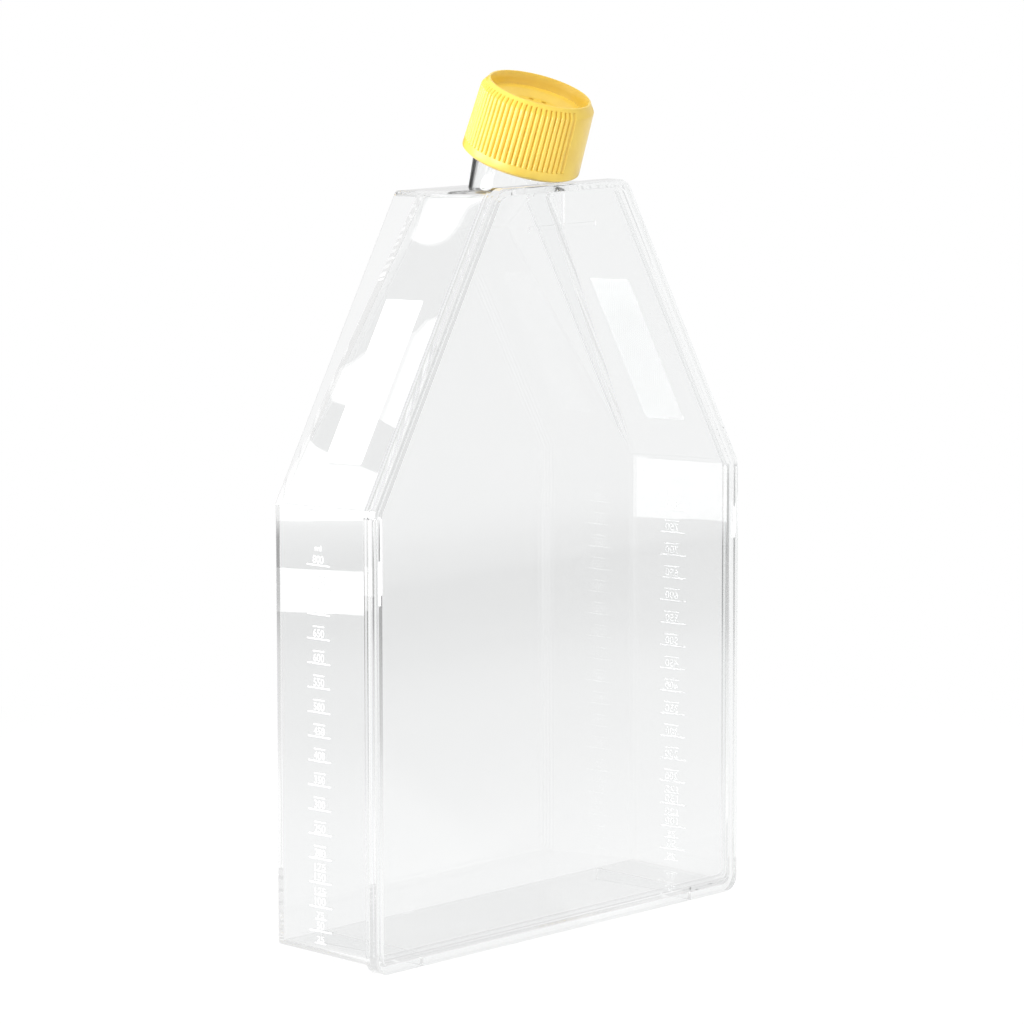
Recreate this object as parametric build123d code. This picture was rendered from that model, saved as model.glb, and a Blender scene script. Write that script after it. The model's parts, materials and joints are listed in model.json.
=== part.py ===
from build123d import *
import os
from dataclasses import dataclass, replace
from math import atan2, cos, degrees, radians, sin, tan

# Cell culture flask: a clear canted-neck flask with a vented screw cap.
#
# The body is two clear mouldings welded face to face: a deep tray, whose back wall is the
# growth surface and whose top carries the neck, and a flat cover plate with a raised rim.
# A ribbed cap screws on the neck. It holds a gas-permeable membrane under its vent holes,
# and a sealing ring that sits on the neck's lip.
#
# Millimetres. X is the flask's width, Y its depth (front to back) and Z its height.
# Inside the script Y starts at the cover's front face; the finished parts are moved so
# that the origin is the bottom centre of the flask's overall box.

# Outline of the flask, seen from the front: a rectangle with sloping shoulders.
flask_width = 172.0
flask_height = 231.7
shoulder_height = 139.0
top_width = 60.8
foot_corner_radius = 5.0
shoulder_corner_radius = 7.0

# Cover plate.
cover_thickness = 3.1
rim_width = 2.7
rim_stand = 1.0
rim_edge_round = 0.7
tongue_width = 1.2
tongue_depth = 1.8
tongue_clearance = 0.15

# T-shaped rib on the cover, under the neck.
rib_bar_length = 31.0
rib_bar_width = 1.3
rib_bar_drop = 13.0
rib_stem_width = 1.1
rib_stand = 0.5

# Tray.
tray_depth = 40.1
weld_flange_thickness = 1.7
weld_flange_width = 0.7
weld_flange_foot = 2.0
wall_draft = 2.5
wall_thickness = 1.7
growth_wall_thickness = 1.9
tray_corner_radius = 3.0
tray_inner_corner_radius = 1.6
back_edge_round = 0.8

# Rails under the tray, level with the foot of the weld flange, so that the flask stands upright.
rail_spacing = 128.0
rail_width = 1.4
rail_back_gap = 1.6
rail_bite = 0.8

# Sloping facets that lead from the growth surface up to the neck.
growth_top_drop = 16.4
growth_top_width = 41.0
facet_rise_at_neck = 8.1
facet_rise_at_wall = 9.8

# Neck. Its height above the cap's foot follows from the cap.
neck_tilt = 20.0
neck_behind_cover = 1.363
neck_radius = 14.6
neck_wall = 2.2
neck_root_radius = 13.1
neck_root_wall = 1.7
neck_root_drop = 13.0
neck_lip_round = 0.5
bore_cone_top = 2.0
bore_run_out = 3.0
neck_buried_length = 14.0

# Screw cap, from the neck outwards.
cap_height = 23.7
cap_clearance = 0.26
cap_foot_room = 1.7
cap_top_room = 1.3
cap_foot_wall = 2.2
cap_top_wall = 1.9
cap_foot_edge = 0.8
cap_foot_bevel = 1.05
cap_bevel_width = 1.6
cap_bevel_height = 2.8
cap_rim_width = 0.8
cap_rim_round = 0.4
recess_depth = 4.0
recess_wall_taper = 0.8
well_inset = 2.2
well_slope_width = 3.8
well_depth = 1.5
disc_thickness = 1.0
vent_circle_radius = 6.65
vent_radius = 0.85
vent_count = 10
vent_start_angle = 18.0
groove_count_each_side = 25
groove_pitch = 5.4
groove_radius = 0.62
groove_bite = 0.5
groove_start = 3.6
panel_angle = -74.0

# Parts under the cap's disc.
membrane_overlap = 1.2
membrane_thickness = 0.3
seal_overhang = 0.6
seal_bore_step = 0.4
seal_thickness = 0.85

# Box large enough to cut with.
reach = 500.0


@dataclass(frozen=True)
class House:
    """House-shaped outline: two upright sides, two sloping shoulders and a level top."""

    half_width: float
    foot: float
    shoulder: float
    half_top: float
    top: float

    def slope(self) -> float:
        """Angle of the shoulder away from the upright, in radians."""
        return atan2(self.half_width - self.half_top, self.top - self.shoulder)

    def inset(self, gap: float) -> "House":
        """The same outline moved inward by gap on every side."""
        lean = self.slope()
        return House(
            self.half_width - gap,
            self.foot + gap,
            self.shoulder - gap * tan(lean / 2),
            self.half_top - gap * tan((radians(90) - lean) / 2),
            self.top - gap,
        )

    def face(self, foot_radius: float, upper_radius: float) -> Sketch:
        """The outline as a face in the XZ plane, facing the front, with rounded corners."""
        points = [
            (-self.half_width, self.foot),
            (self.half_width, self.foot),
            (self.half_width, self.shoulder),
            (self.half_top, self.top),
            (-self.half_top, self.top),
            (-self.half_width, self.shoulder),
        ]
        flat = make_face(Polyline(*points, close=True))
        flat = fillet(flat.vertices().group_by(Axis.Y)[0], foot_radius)
        upper = flat.vertices().filter_by_position(
            Axis.Y, self.shoulder - foot_radius, self.top + foot_radius
        )
        return fillet(upper, upper_radius)


def slab(outline: House, start: float, end: float, foot_radius: float, upper_radius: float,
         draft: float = 0.0) -> Part:
    """A solid of the outline from depth start to depth end, narrowing by the draft angle."""
    sketch = Plane(origin=(0, start, 0), x_dir=(1, 0, 0), z_dir=(0, -1, 0)) * outline.face(
        foot_radius, upper_radius
    )
    return extrude(sketch, amount=start - end, taper=draft)


bore_radius = neck_radius - neck_wall
bore_root_radius = neck_root_radius - neck_root_wall
cap_mouth_radius = neck_radius + cap_foot_room
cap_pocket_radius = neck_radius + cap_top_room
cap_foot_radius = cap_mouth_radius + cap_foot_edge
cap_lower_radius = cap_mouth_radius + cap_foot_wall
cap_upper_radius = cap_pocket_radius + cap_top_wall
cap_rim_radius = cap_upper_radius - cap_bevel_width
recess_mouth_radius = cap_rim_radius - cap_rim_width
recess_floor_radius = recess_mouth_radius - recess_wall_taper
well_radius = recess_floor_radius - well_inset

recess_floor = cap_height - recess_depth
well_floor = recess_floor - well_depth
disc_under = well_floor - disc_thickness
neck_lip_height = disc_under - membrane_thickness - seal_thickness

flange = House(flask_width / 2, 0.0, shoulder_height, top_width / 2, flask_height)
tray_start = cover_thickness
flange_back = tray_start + weld_flange_thickness
tray_back = tray_start + tray_depth
growth_depth = tray_back - growth_wall_thickness
growth_top = flask_height - growth_top_drop
rib_bar_height = flask_height - rib_bar_drop
outer = flange.inset(weld_flange_width)
outer = replace(outer, foot=flange.foot + weld_flange_foot)
inner = outer.inset(wall_thickness)


def drafted(outline: House, depth: float) -> House:
    """The outline at a depth inside the tray, which narrows towards its back."""
    return outline.inset((depth - tray_start) * tan(radians(wall_draft)))


neck_axis = Vector(0, -sin(radians(neck_tilt)), cos(radians(neck_tilt)))
cap_foot_rise = cap_foot_radius * sin(radians(neck_tilt)) + cap_clearance
neck_axis_depth = cover_thickness + neck_behind_cover + neck_radius / cos(radians(neck_tilt))
neck_origin = Vector(0, neck_axis_depth, flask_height)
neck_origin += neck_axis * (cap_foot_rise / cos(radians(neck_tilt)))
neck_plane = Plane(origin=neck_origin, x_dir=(1, 0, 0), z_dir=neck_axis)


def turned(profile: list) -> Part:
    """A solid turned about the neck's axis from (radius, height) points above the cap's foot."""
    face = Plane.XZ * make_face(Polyline(*profile, close=True))
    return neck_plane * revolve(face, Axis.Z)


def behind(a: Vector, b: Vector, c: Vector, gap: float) -> Part:
    """Everything at the back of the plane through three points, from gap behind it."""
    normal = (b - a).cross(c - a).normalized()
    if normal.Y < 0:
        normal = normal * -1
    block = Box(reach, reach, reach, align=(Align.CENTER, Align.CENTER, Align.MIN))
    return Plane(origin=a + normal * gap, z_dir=normal) * block


def facet_planes() -> list:
    """Three points on each sloping facet: left shoulder, right shoulder and under the neck."""
    at_growth = drafted(inner, growth_depth)
    half_top = growth_top_width / 2
    planes = []
    for side in (-1, 1):
        corner = Vector(side * at_growth.half_width, growth_depth, at_growth.shoulder)
        peak = Vector(side * half_top, growth_depth, growth_top)
        rise = Vector(side * at_growth.half_top, growth_depth - facet_rise_at_wall, at_growth.top)
        planes.append((corner, peak, rise))
    left_peak = Vector(-half_top, growth_depth, growth_top)
    right_peak = Vector(half_top, growth_depth, growth_top)
    under_neck = Vector(0, growth_depth - facet_rise_at_neck, at_growth.top)
    planes.append((left_peak, right_peak, under_neck))
    return planes


def make_rail(side: int) -> Part:
    """Rail from front to back under the bottom wall, as low as the weld flange."""
    start = flange_back - rail_bite
    end = tray_back - rail_back_gap
    top = outer.foot + rail_bite
    climb = tan(radians(wall_draft))
    profile = make_face(Polyline(
        (start, 0),
        (end, 0),
        (end, top + (end - tray_start) * climb),
        (start, top + (start - tray_start) * climb),
        close=True,
    ))
    across = Plane.YZ.offset(side * rail_spacing / 2)
    return extrude(across * profile, amount=rail_width / 2, both=True)


def make_tray() -> Part:
    """Deep half of the body: walls, growth surface, weld flange, rails, facets and neck."""
    body = slab(outer, tray_start, tray_back, tray_corner_radius, tray_corner_radius, wall_draft)
    back_edges = body.faces().sort_by(Axis.Y)[-1].edges()
    body = fillet(back_edges, back_edge_round)
    body += slab(flange, tray_start, flange_back, foot_corner_radius, shoulder_corner_radius)
    for side in (-1, 1):
        body += make_rail(side)
    body += turned([
        (0, -neck_root_drop - neck_buried_length),
        (neck_root_radius, -neck_root_drop - neck_buried_length),
        (neck_root_radius, -neck_root_drop),
        (neck_radius, 0),
        (neck_radius, neck_lip_height - neck_lip_round),
        (neck_radius - neck_lip_round, neck_lip_height),
        (0, neck_lip_height),
    ])

    chamber = slab(inner, tray_start, growth_depth, tray_inner_corner_radius,
                   tray_inner_corner_radius, wall_draft)
    hollow = slab(
        drafted(outer, tray_back).inset(wall_thickness), growth_depth - facet_rise_at_wall,
        tray_back, tray_inner_corner_radius, tray_inner_corner_radius,
    )
    recess = []
    for points in facet_planes():
        chamber -= behind(*points, 0.0)
        recess.append(hollow & behind(*points, growth_wall_thickness))
    body -= chamber
    for pocket in recess:
        body -= pocket

    bore_end = -neck_root_drop - bore_run_out
    body -= turned([
        (0, bore_end),
        (bore_root_radius, bore_end),
        (bore_root_radius, -neck_root_drop),
        (bore_radius, bore_cone_top),
        (bore_radius, neck_lip_height),
        (0, neck_lip_height),
    ])
    return body


def make_cover() -> Part:
    """Flat half of the body: a plate with a raised rim, a weld tongue and the T-shaped rib."""
    plate = slab(flange, 0, cover_thickness, foot_corner_radius, shoulder_corner_radius)
    plate = fillet(plate.faces().sort_by(Axis.Y)[0].edges(), rim_edge_round)
    panel = flange.inset(rim_width)
    plate -= slab(panel, 0, rim_stand, foot_corner_radius - rim_width,
                  shoulder_corner_radius - rim_width)

    tongue = inner.inset(tongue_clearance)
    tongue_inner = tongue.inset(tongue_width)
    tongue_end = cover_thickness + tongue_depth
    ring = slab(tongue, cover_thickness, tongue_end, tray_inner_corner_radius,
                tray_inner_corner_radius, wall_draft)
    ring -= slab(tongue_inner, cover_thickness, tongue_end, tray_inner_corner_radius,
                 tray_inner_corner_radius, wall_draft)
    plate += ring

    bar = Box(rib_bar_length, rib_stand, rib_bar_width, align=(Align.CENTER, Align.MAX, Align.CENTER))
    stem_length = panel.top - rib_bar_height
    stem = Box(rib_stem_width, rib_stand, stem_length, align=(Align.CENTER, Align.MAX, Align.MIN))
    plate += Pos(0, rim_stand, rib_bar_height) * bar
    plate += Pos(0, rim_stand, rib_bar_height) * stem
    return plate


def make_cap() -> Part:
    """Ribbed cap with a recessed vented disc, fitted to the neck below it."""
    bevel_start = cap_height - cap_bevel_height
    body = turned([
        (cap_mouth_radius, 0),
        (cap_foot_radius, 0),
        (cap_lower_radius, cap_foot_bevel),
        (cap_upper_radius, bevel_start),
        (cap_rim_radius, cap_height - cap_rim_round),
        (cap_rim_radius - cap_rim_round, cap_height),
        (recess_mouth_radius, cap_height),
        (recess_floor_radius, recess_floor),
        (well_radius, recess_floor),
        (well_radius - well_slope_width, well_floor),
        (0, well_floor),
        (0, disc_under),
        (cap_pocket_radius, disc_under),
    ])

    taper = (cap_lower_radius - cap_upper_radius) / (bevel_start - cap_foot_bevel)
    groove_length = cap_height - groove_start
    cutter = Cylinder(groove_radius, groove_length, align=(Align.CENTER, Align.CENTER, Align.MIN))
    cutter = Rot(0, -degrees(atan2(taper, 1)), 0) * cutter
    skin = cap_lower_radius - taper * (groove_start - cap_foot_bevel)
    cutter = Pos(skin + groove_radius - groove_bite, 0, groove_start) * cutter
    grooves = []
    for panel in (0, 180):
        for number in range(groove_count_each_side):
            step = (number - (groove_count_each_side - 1) / 2) * groove_pitch
            angle = panel_angle + 90 + panel + step
            grooves.append(neck_plane * Rot(0, 0, angle) * cutter)
    body -= grooves

    vents = []
    hole = Cylinder(vent_radius, recess_depth + disc_thickness,
                    align=(Align.CENTER, Align.CENTER, Align.MIN))
    for number in range(vent_count):
        turn = Rot(0, 0, vent_start_angle + number * 360 / vent_count)
        vents.append(neck_plane * turn * Pos(vent_circle_radius, 0, disc_under) * hole)
    body -= vents
    return body


def make_membrane() -> Part:
    """Gas-permeable disc under the cap's vent holes."""
    lower = disc_under - membrane_thickness
    membrane_radius = bore_radius + membrane_overlap
    return turned([
        (0, lower),
        (membrane_radius, lower),
        (membrane_radius, disc_under),
        (0, disc_under),
    ])


def make_seal() -> Part:
    """Sealing ring between the neck's lip and the membrane's edge."""
    lower = neck_lip_height
    upper = lower + seal_thickness
    seal_radius = neck_radius + seal_overhang
    seal_bore = bore_radius + seal_bore_step
    return turned([
        (seal_bore, lower),
        (seal_radius, lower),
        (seal_radius, upper),
        (seal_bore, upper),
    ])


def main() -> None:
    """Builds every part, centres the flask on its overall box and writes the STEP files."""
    parts = {
        "flask_tray": make_tray(),
        "cover_plate": make_cover(),
        "screw_cap": make_cap(),
        "vent_membrane": make_membrane(),
        "seal_ring": make_seal(),
    }
    boxes = [part.bounding_box() for part in parts.values()]
    front = min(box.min.Y for box in boxes)
    back = max(box.max.Y for box in boxes)
    shift = Pos(0, -(front + back) / 2, 0)
    os.makedirs("parts", exist_ok=True)
    for name, part in parts.items():
        export_step(shift * part, os.path.join("parts", name + ".step"))


main()
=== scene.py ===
"""Looks of the cell culture flask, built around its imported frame.

The clear tray and cover carry the printed volume scale and the frosted label patches. The
ribbed cap, the screw threads and the small parts under the cap's disc are dressed in moulded
plastic, membrane and silicone.
"""

import json
import logging
import math
import random
from collections.abc import Iterable
from dataclasses import dataclass
from enum import Enum
from typing import ClassVar

import bmesh
import bpy
from mathutils import Matrix, Vector
from mathutils.geometry import delaunay_2d_cdt


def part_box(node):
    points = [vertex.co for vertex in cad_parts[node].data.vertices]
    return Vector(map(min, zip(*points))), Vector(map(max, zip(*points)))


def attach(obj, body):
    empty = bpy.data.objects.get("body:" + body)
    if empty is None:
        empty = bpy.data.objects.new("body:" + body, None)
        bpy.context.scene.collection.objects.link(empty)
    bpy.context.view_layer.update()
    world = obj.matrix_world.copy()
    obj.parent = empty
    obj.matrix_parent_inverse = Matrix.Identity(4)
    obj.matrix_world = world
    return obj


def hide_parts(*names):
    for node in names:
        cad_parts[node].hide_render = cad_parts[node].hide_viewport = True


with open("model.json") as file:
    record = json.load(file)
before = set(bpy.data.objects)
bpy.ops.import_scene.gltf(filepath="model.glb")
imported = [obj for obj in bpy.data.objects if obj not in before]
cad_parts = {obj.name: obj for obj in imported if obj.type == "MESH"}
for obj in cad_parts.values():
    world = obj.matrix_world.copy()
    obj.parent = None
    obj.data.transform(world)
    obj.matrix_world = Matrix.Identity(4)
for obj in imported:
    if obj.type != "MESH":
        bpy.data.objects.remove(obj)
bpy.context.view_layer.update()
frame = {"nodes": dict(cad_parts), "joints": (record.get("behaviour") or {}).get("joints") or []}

MM = 0.001
TURN = 2.0 * math.pi
LOG = logging.getLogger("flask")
SEED = 17
LAST_BOUNCE = 44
BLACK = (0.0, 0.0, 0.0)
WHITE = (1.0, 1.0, 1.0)
Colour = tuple[float, float, float]
Spot = tuple[float, float, float]
Pair = tuple[float, float]
Pairs = tuple[Pair, ...]
BMesh = bmesh.types.BMesh
Vert = bmesh.types.BMVert
Object = bpy.types.Object
Material = bpy.types.Material
NodeTree = bpy.types.NodeTree
Node = bpy.types.Node
Socket = bpy.types.NodeSocket


# -------- reference

@dataclass(frozen=True)
class Seat:
    """Where the flask's main features lie, worked out from the frame, in metres."""

    front: float
    cap_foot: Vector
    axis: Vector

    @staticmethod
    def read() -> "Seat":
        """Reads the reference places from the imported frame.

        Returns:
            The seat that every class below measures from.
        """
        low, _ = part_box("cover_plate")
        turn = next(joint for joint in frame["joints"] if joint["name"] == "cap_turn")
        return Seat(low.y, Vector(turn["pos_m"]), Vector(turn["axis"]).normalized())

    def neck_frame(self) -> Matrix:
        """The neck's own frame: Z along its axis from the cap's foot, X across the flask."""
        side = Vector((1.0, 0.0, 0.0))
        depth = self.axis.cross(side).normalized()
        turn = Matrix((side, depth, self.axis)).transposed().to_4x4()
        return Matrix.Translation(self.cap_foot) @ turn


SEAT = Seat.read()


# -------- mesh helpers

def linked(name: str, data: bpy.types.ID) -> Object:
    """A new object in the scene that shows this data."""
    made = bpy.data.objects.new(name, data)
    bpy.context.scene.collection.objects.link(made)
    return made


def mesh_object(bm: BMesh, name: str) -> Object:
    """A new object in the scene from a bmesh, which is freed."""
    mesh = bpy.data.meshes.new(name)
    bm.to_mesh(mesh)
    bm.free()
    return linked(name, mesh)


def ride(piece: Object, body: str) -> None:
    """Lets a piece ride on a body and reports it."""
    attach(piece, body)
    LOG.info("%s: %d faces on %s", piece.name, len(piece.data.polygons), body)


def finish_piece(bm: BMesh, name: str, body: str, smooth_below: float) -> Object:
    """Turns a bmesh into a piece that rides on a body.

    Args:
        bm: the mesh, in metres in the flask's frame; it is freed.
        name: the piece's name.
        body: the body that it moves with.
        smooth_below: angle in degrees below which an edge is shaded smooth.

    Returns:
        The new object.
    """
    bmesh.ops.recalc_face_normals(bm, faces=bm.faces)
    made = mesh_object(bm, name)
    made.data.shade_smooth()
    made.data.set_sharp_from_angle(angle=math.radians(smooth_below))
    ride(made, body)
    return made


def bridge(bm: BMesh, rings: list[list[Vert]]) -> None:
    """Joins closed rings of equal length with quads, in order."""
    for one, two in zip(rings, rings[1:]):
        for i in range(len(one)):
            j = (i + 1) % len(one)
            bm.faces.new((one[i], one[j], two[j], two[i]))


def plate(bm: BMesh, outline: list[Pair], place: Matrix, thickness: float) -> None:
    """Adds a thin closed plate.

    Args:
        bm: the mesh that takes it.
        outline: the outline's points in the plate's own plane.
        place: from the plate's plane, with Z outwards, to the flask's frame.
        thickness: how thick it is along Z.
    """
    low = [bm.verts.new(place @ Vector((x, y, 0.0))) for x, y in outline]
    high = [bm.verts.new(place @ Vector((x, y, thickness))) for x, y in outline]
    bridge(bm, [low, high])
    bm.faces.new(low[::-1])
    bm.faces.new(high)


def on_circle(radius: float, angle: float) -> Pair:
    """The point at an angle in radians on a circle about the origin."""
    return (radius * math.cos(angle), radius * math.sin(angle))


def bearing(azimuth: float, elevation: float) -> Vector:
    """The direction at degrees from +Y towards +X and degrees above the floor."""
    turn, tip = math.radians(azimuth), math.radians(elevation)
    return Vector((math.sin(turn) * math.cos(tip), math.cos(turn) * math.cos(tip), math.sin(tip)))


def rounded_bar(middle: Pair, size: Pair, radius: float, steps: int) -> list[Pair]:
    """The outline of a rectangle with rounded corners.

    Args:
        middle: its middle.
        size: its width and height.
        radius: the corners' radius.
        steps: points per corner, less one.

    Returns:
        The outline, counter-clockwise.
    """
    half_x, half_y = size[0] / 2.0 - radius, size[1] / 2.0 - radius
    points = []
    for quarter, (sx, sy) in enumerate(((1, 1), (-1, 1), (-1, -1), (1, -1))):
        for step in range(steps + 1):
            x, y = on_circle(radius, (quarter + step / steps) * TURN / 4.0)
            points.append((middle[0] + sx * half_x + x, middle[1] + sy * half_y + y))
    return points


def dress(piece: Object, material: Material) -> None:
    """Gives the whole piece one material."""
    piece.data.materials.clear()
    piece.data.materials.append(material)


# -------- shader helpers

class Bench:
    """A node tree under work, with short ways to add and join nodes."""

    def __init__(self, tree: NodeTree) -> None:
        """Keeps the tree, emptied."""
        self.tree = tree
        tree.nodes.clear()

    def feed(self, socket: Socket, value: object) -> None:
        """Links an output socket to an input, or sets a plain value on it."""
        if isinstance(value, Socket):
            self.tree.links.new(value, socket)
        else:
            socket.default_value = value

    def fill(self, sockets: Iterable[Socket], values: Iterable[object]) -> None:
        """Feeds sockets in order."""
        for socket, value in zip(sockets, values):
            self.feed(socket, value)

    def add(self, kind: str, settings: dict | None = None, **inputs: object) -> Node:
        """Adds a node.

        Args:
            kind: the node's type name after ShaderNode.
            settings: plain attributes of the node.
            inputs: values or output sockets, by the input's name with _ for a space.

        Returns:
            The new node.
        """
        node = self.tree.nodes.new("ShaderNode" + kind)
        for key, value in (settings or {}).items():
            setattr(node, key, value)
        for key, value in inputs.items():
            self.feed(node.inputs[key.replace("_", " ")], value)
        return node

    def maths(self, operation: str, *values: object) -> Socket:
        """Adds a Math node with these inputs and returns its output."""
        node = self.add("Math", {"operation": operation})
        self.fill(node.inputs, values)
        return node.outputs[0]

    def span(self, value: object, start: Pair, end: Pair) -> Socket:
        """Maps value from the first pair onto the second, smoothly and held at both ends."""
        node = self.add("MapRange", {"interpolation_type": "SMOOTHSTEP"})
        self.fill(node.inputs, (value, *start, *end))
        return node.outputs[0]

    def blend(self, share: object, first: object, second: object) -> Socket:
        """Mixes two colours by share and returns the result."""
        node = self.add("Mix", {"data_type": "RGBA"})
        self.fill((node.inputs[0], node.inputs[6], node.inputs[7]), (share, first, second))
        return node.outputs[2]

    def grain(self, size: float, detail: float, strength: float, height: float) -> Node:
        """Places the shared grain group.

        Args:
            size: the size of the grain's features, in metres.
            detail: how many finer layers it has.
            strength: how much of the relief shows, from 0 to 1.
            height: the relief's height, in metres.

        Returns:
            The group's node, with the outputs Mask and Normal.
        """
        return self.add(
            "Group", {"node_tree": grain_group()},
            Scale=1.0 / size, Detail=detail, Strength=strength, Height=height,
        )

    def mask(self, size: float, detail: float) -> Socket:
        """The grain group's grey mask alone."""
        return self.grain(size, detail, strength=0.0, height=0.0).outputs["Mask"]

    def steps(self, value: object, stops: Pairs) -> Socket:
        """Reads a grey level off a ramp of (position, level) stops."""
        node = self.add("ValToRGB", Fac=value)
        stripes = node.color_ramp.elements
        while len(stripes) < len(stops):
            stripes.new(0.5)
        for stripe, (position, level) in zip(stripes, stops):
            stripe.position = position
            stripe.color = (level, level, level, 1.0)
        return node.outputs[0]

    def shader_mix(self, share: object, first: object, second: object) -> Socket:
        """Mixes two shaders by share and returns the result."""
        node = self.add("MixShader")
        self.fill(node.inputs, (share, first, second))
        return node.outputs[0]

    def mirrored(self, path: Node) -> Socket:
        """1 where a Light Path node finds that a ray has been mirrored before, and 0 elsewhere."""
        return self.maths("GREATER_THAN", path.outputs["Glossy Depth"], 0.5)

    def show(self, surface: Socket) -> None:
        """Joins a shader to the material's output."""
        self.add("OutputMaterial", Surface=surface)


def grain_group() -> NodeTree:
    """The shader group of the grain that every finish of the flask has.

    Returns:
        The group, made on first use: noise in the object's own coordinates as a mask, and
        the relief that it gives the surface.
    """
    name = "surface grain"
    if name in bpy.data.node_groups:
        return bpy.data.node_groups[name]
    tree = bpy.data.node_groups.new(name, "ShaderNodeTree")
    bench = Bench(tree)
    for item in ("Scale", "Detail", "Strength", "Height"):
        tree.interface.new_socket(item, in_out="INPUT", socket_type="NodeSocketFloat")
    tree.interface.new_socket("Mask", in_out="OUTPUT", socket_type="NodeSocketFloat")
    tree.interface.new_socket("Normal", in_out="OUTPUT", socket_type="NodeSocketVector")
    given = tree.nodes.new("NodeGroupInput").outputs
    place = bench.add("TexCoord").outputs["Object"]
    noise = bench.add("TexNoise", Vector=place, Scale=given["Scale"], Detail=given["Detail"]).outputs[0]
    relief = bench.add("Bump", Height=noise, Strength=given["Strength"], Distance=given["Height"])
    result = tree.nodes.new("NodeGroupOutput")
    bench.feed(result.inputs["Mask"], noise)
    bench.feed(result.inputs["Normal"], relief.outputs[0])
    return tree


def new_material(name: str) -> tuple[Material, Bench]:
    """An empty node material and its bench."""
    material = bpy.data.materials.new(name)
    material.use_nodes = True
    return material, Bench(material.node_tree)


def opaque(colour: Colour, share: float = 1.0) -> tuple[float, float, float, float]:
    """The colour, darkened to a share of itself, with full opacity."""
    return (*(part * share for part in colour), 1.0)


def grey(level: float) -> tuple[float, float, float, float]:
    """An opaque grey."""
    return opaque((level, level, level))


# -------- finishes

@dataclass(frozen=True)
class ClearPlastic:
    """Clear polystyrene: faint moulding ripple in the surface, a slight tint, and a painted grey glow once a
    ray has run out of bounces.
    """

    name: str
    tint: Colour = (0.953, 0.957, 0.957)
    ior: float = 1.59
    ripple_size: float = 0.016
    ripple_height: float = 0.0000045
    streak_size: float = 0.03
    streak_share: float = 0.996
    # painted glow: the grey that the plastic emits once a ray has run out of bounces
    trapped: float = 0.44

    def build(self) -> Material:
        """Builds the node material.

        Returns:
            A clear material that lets the lamps shine through it; past the last bounce it glows a painted
            grey in place of the light such a ray would bring.
        """
        material, bench = new_material(self.name)
        ripple = bench.grain(self.ripple_size, detail=1.0, strength=1.0, height=self.ripple_height)
        streak = bench.mask(self.streak_size, detail=3.0)
        tint = bench.blend(streak, opaque(self.tint, self.streak_share), opaque(self.tint))
        path = bench.add("LightPath")
        # Painted glow: a ray past the last bounce makes the plastic glow a flat grey, standing in for the
        # light it would have gathered.
        spent = bench.maths("GREATER_THAN", path.outputs["Ray Depth"], LAST_BOUNCE - 0.5)
        glow = bench.blend(spent, opaque(BLACK), grey(self.trapped))
        glass = bench.add(
            "BsdfPrincipled", Base_Color=tint, Roughness=0.0, IOR=self.ior, Transmission_Weight=1.0,
            Normal=ripple.outputs["Normal"], Emission_Color=glow, Emission_Strength=1.0,
        )
        material.cycles.emission_sampling = "NONE"
        clear = bench.add("BsdfTransparent", Color=opaque(self.tint))
        bench.show(bench.shader_mix(path.outputs["Is Shadow Ray"], glass.outputs[0], clear.outputs[0]))
        return material


@dataclass(frozen=True)
class CapPlastic:
    """Opaque yellow polyethylene with a satin skin and a slight mottle."""

    name: str
    colour: Colour = (0.87, 0.62, 0.085)
    deep: Colour = (0.84, 0.58, 0.074)
    rough: Pair = (0.34, 0.42)
    shine: float = 0.65
    polish: float = 0.28
    polish_rough: float = 0.22
    mottle_size: float = 0.006
    mottle_span: Pair = (0.35, 0.65)
    rough_span: Pair = (0.3, 0.7)
    grain_size: float = 0.0004
    grain_height: float = 0.000006

    def build(self) -> Material:
        """Builds the node material."""
        material, bench = new_material(self.name)
        mottle = bench.mask(self.mottle_size, detail=3.0)
        grain = bench.grain(self.grain_size, detail=2.0, strength=0.5, height=self.grain_height)
        light = bench.span(mottle, self.mottle_span, (0.0, 1.0))
        skin = bench.add(
            "BsdfPrincipled",
            Base_Color=bench.blend(light, opaque(self.deep), opaque(self.colour)),
            Roughness=bench.span(mottle, self.rough_span, self.rough),
            Specular_IOR_Level=self.shine,
            Coat_Weight=self.polish,
            Coat_Roughness=self.polish_rough,
            Normal=grain.outputs["Normal"],
        )
        bench.show(skin.outputs[0])
        return material


@dataclass(frozen=True)
class WhiteInk:
    """White screen-print ink, thin enough that some light comes through it."""

    name: str
    colour: Colour = (0.98, 0.98, 0.98)
    rough: float = 0.6
    speck_size: float = 0.0007
    speck_span: Pair = (0.2, 0.5)
    speck_cover: Pair = (0.93, 1.0)
    speck_share: float = 0.9
    hatch_pitch: float = 0.0
    hatch_line: Pair = (0.8, 1.0)
    hatch_share: float = 0.12
    thinness: float = 0.6

    def build(self) -> Material:
        """Builds the node material, hatched where a pitch is given."""
        material, bench = new_material(self.name)
        speck = bench.mask(self.speck_size, detail=2.0)
        cover = bench.span(speck, self.speck_span, self.speck_cover)
        colour = bench.blend(cover, opaque(self.colour, self.speck_share), opaque(self.colour))
        skin = bench.add("BsdfPrincipled", Base_Color=colour, Roughness=self.rough)
        through = bench.add("BsdfTranslucent", Color=colour)
        surface = bench.shader_mix(self.thinness, skin.outputs[0], through.outputs[0])
        if self.hatch_pitch:
            place = bench.add("TexCoord").outputs["Object"]
            wave = bench.add(
                "TexWave", {"wave_type": "BANDS", "bands_direction": "DIAGONAL"},
                Vector=place, Scale=TURN / (10.0 * self.hatch_pitch), Distortion=0.0,
            )
            gap = bench.span(wave.outputs["Fac"], self.hatch_line, (0.0, self.hatch_share))
            surface = bench.shader_mix(gap, surface, bench.add("BsdfTransparent").outputs[0])
        bench.show(surface)
        return material


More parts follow.
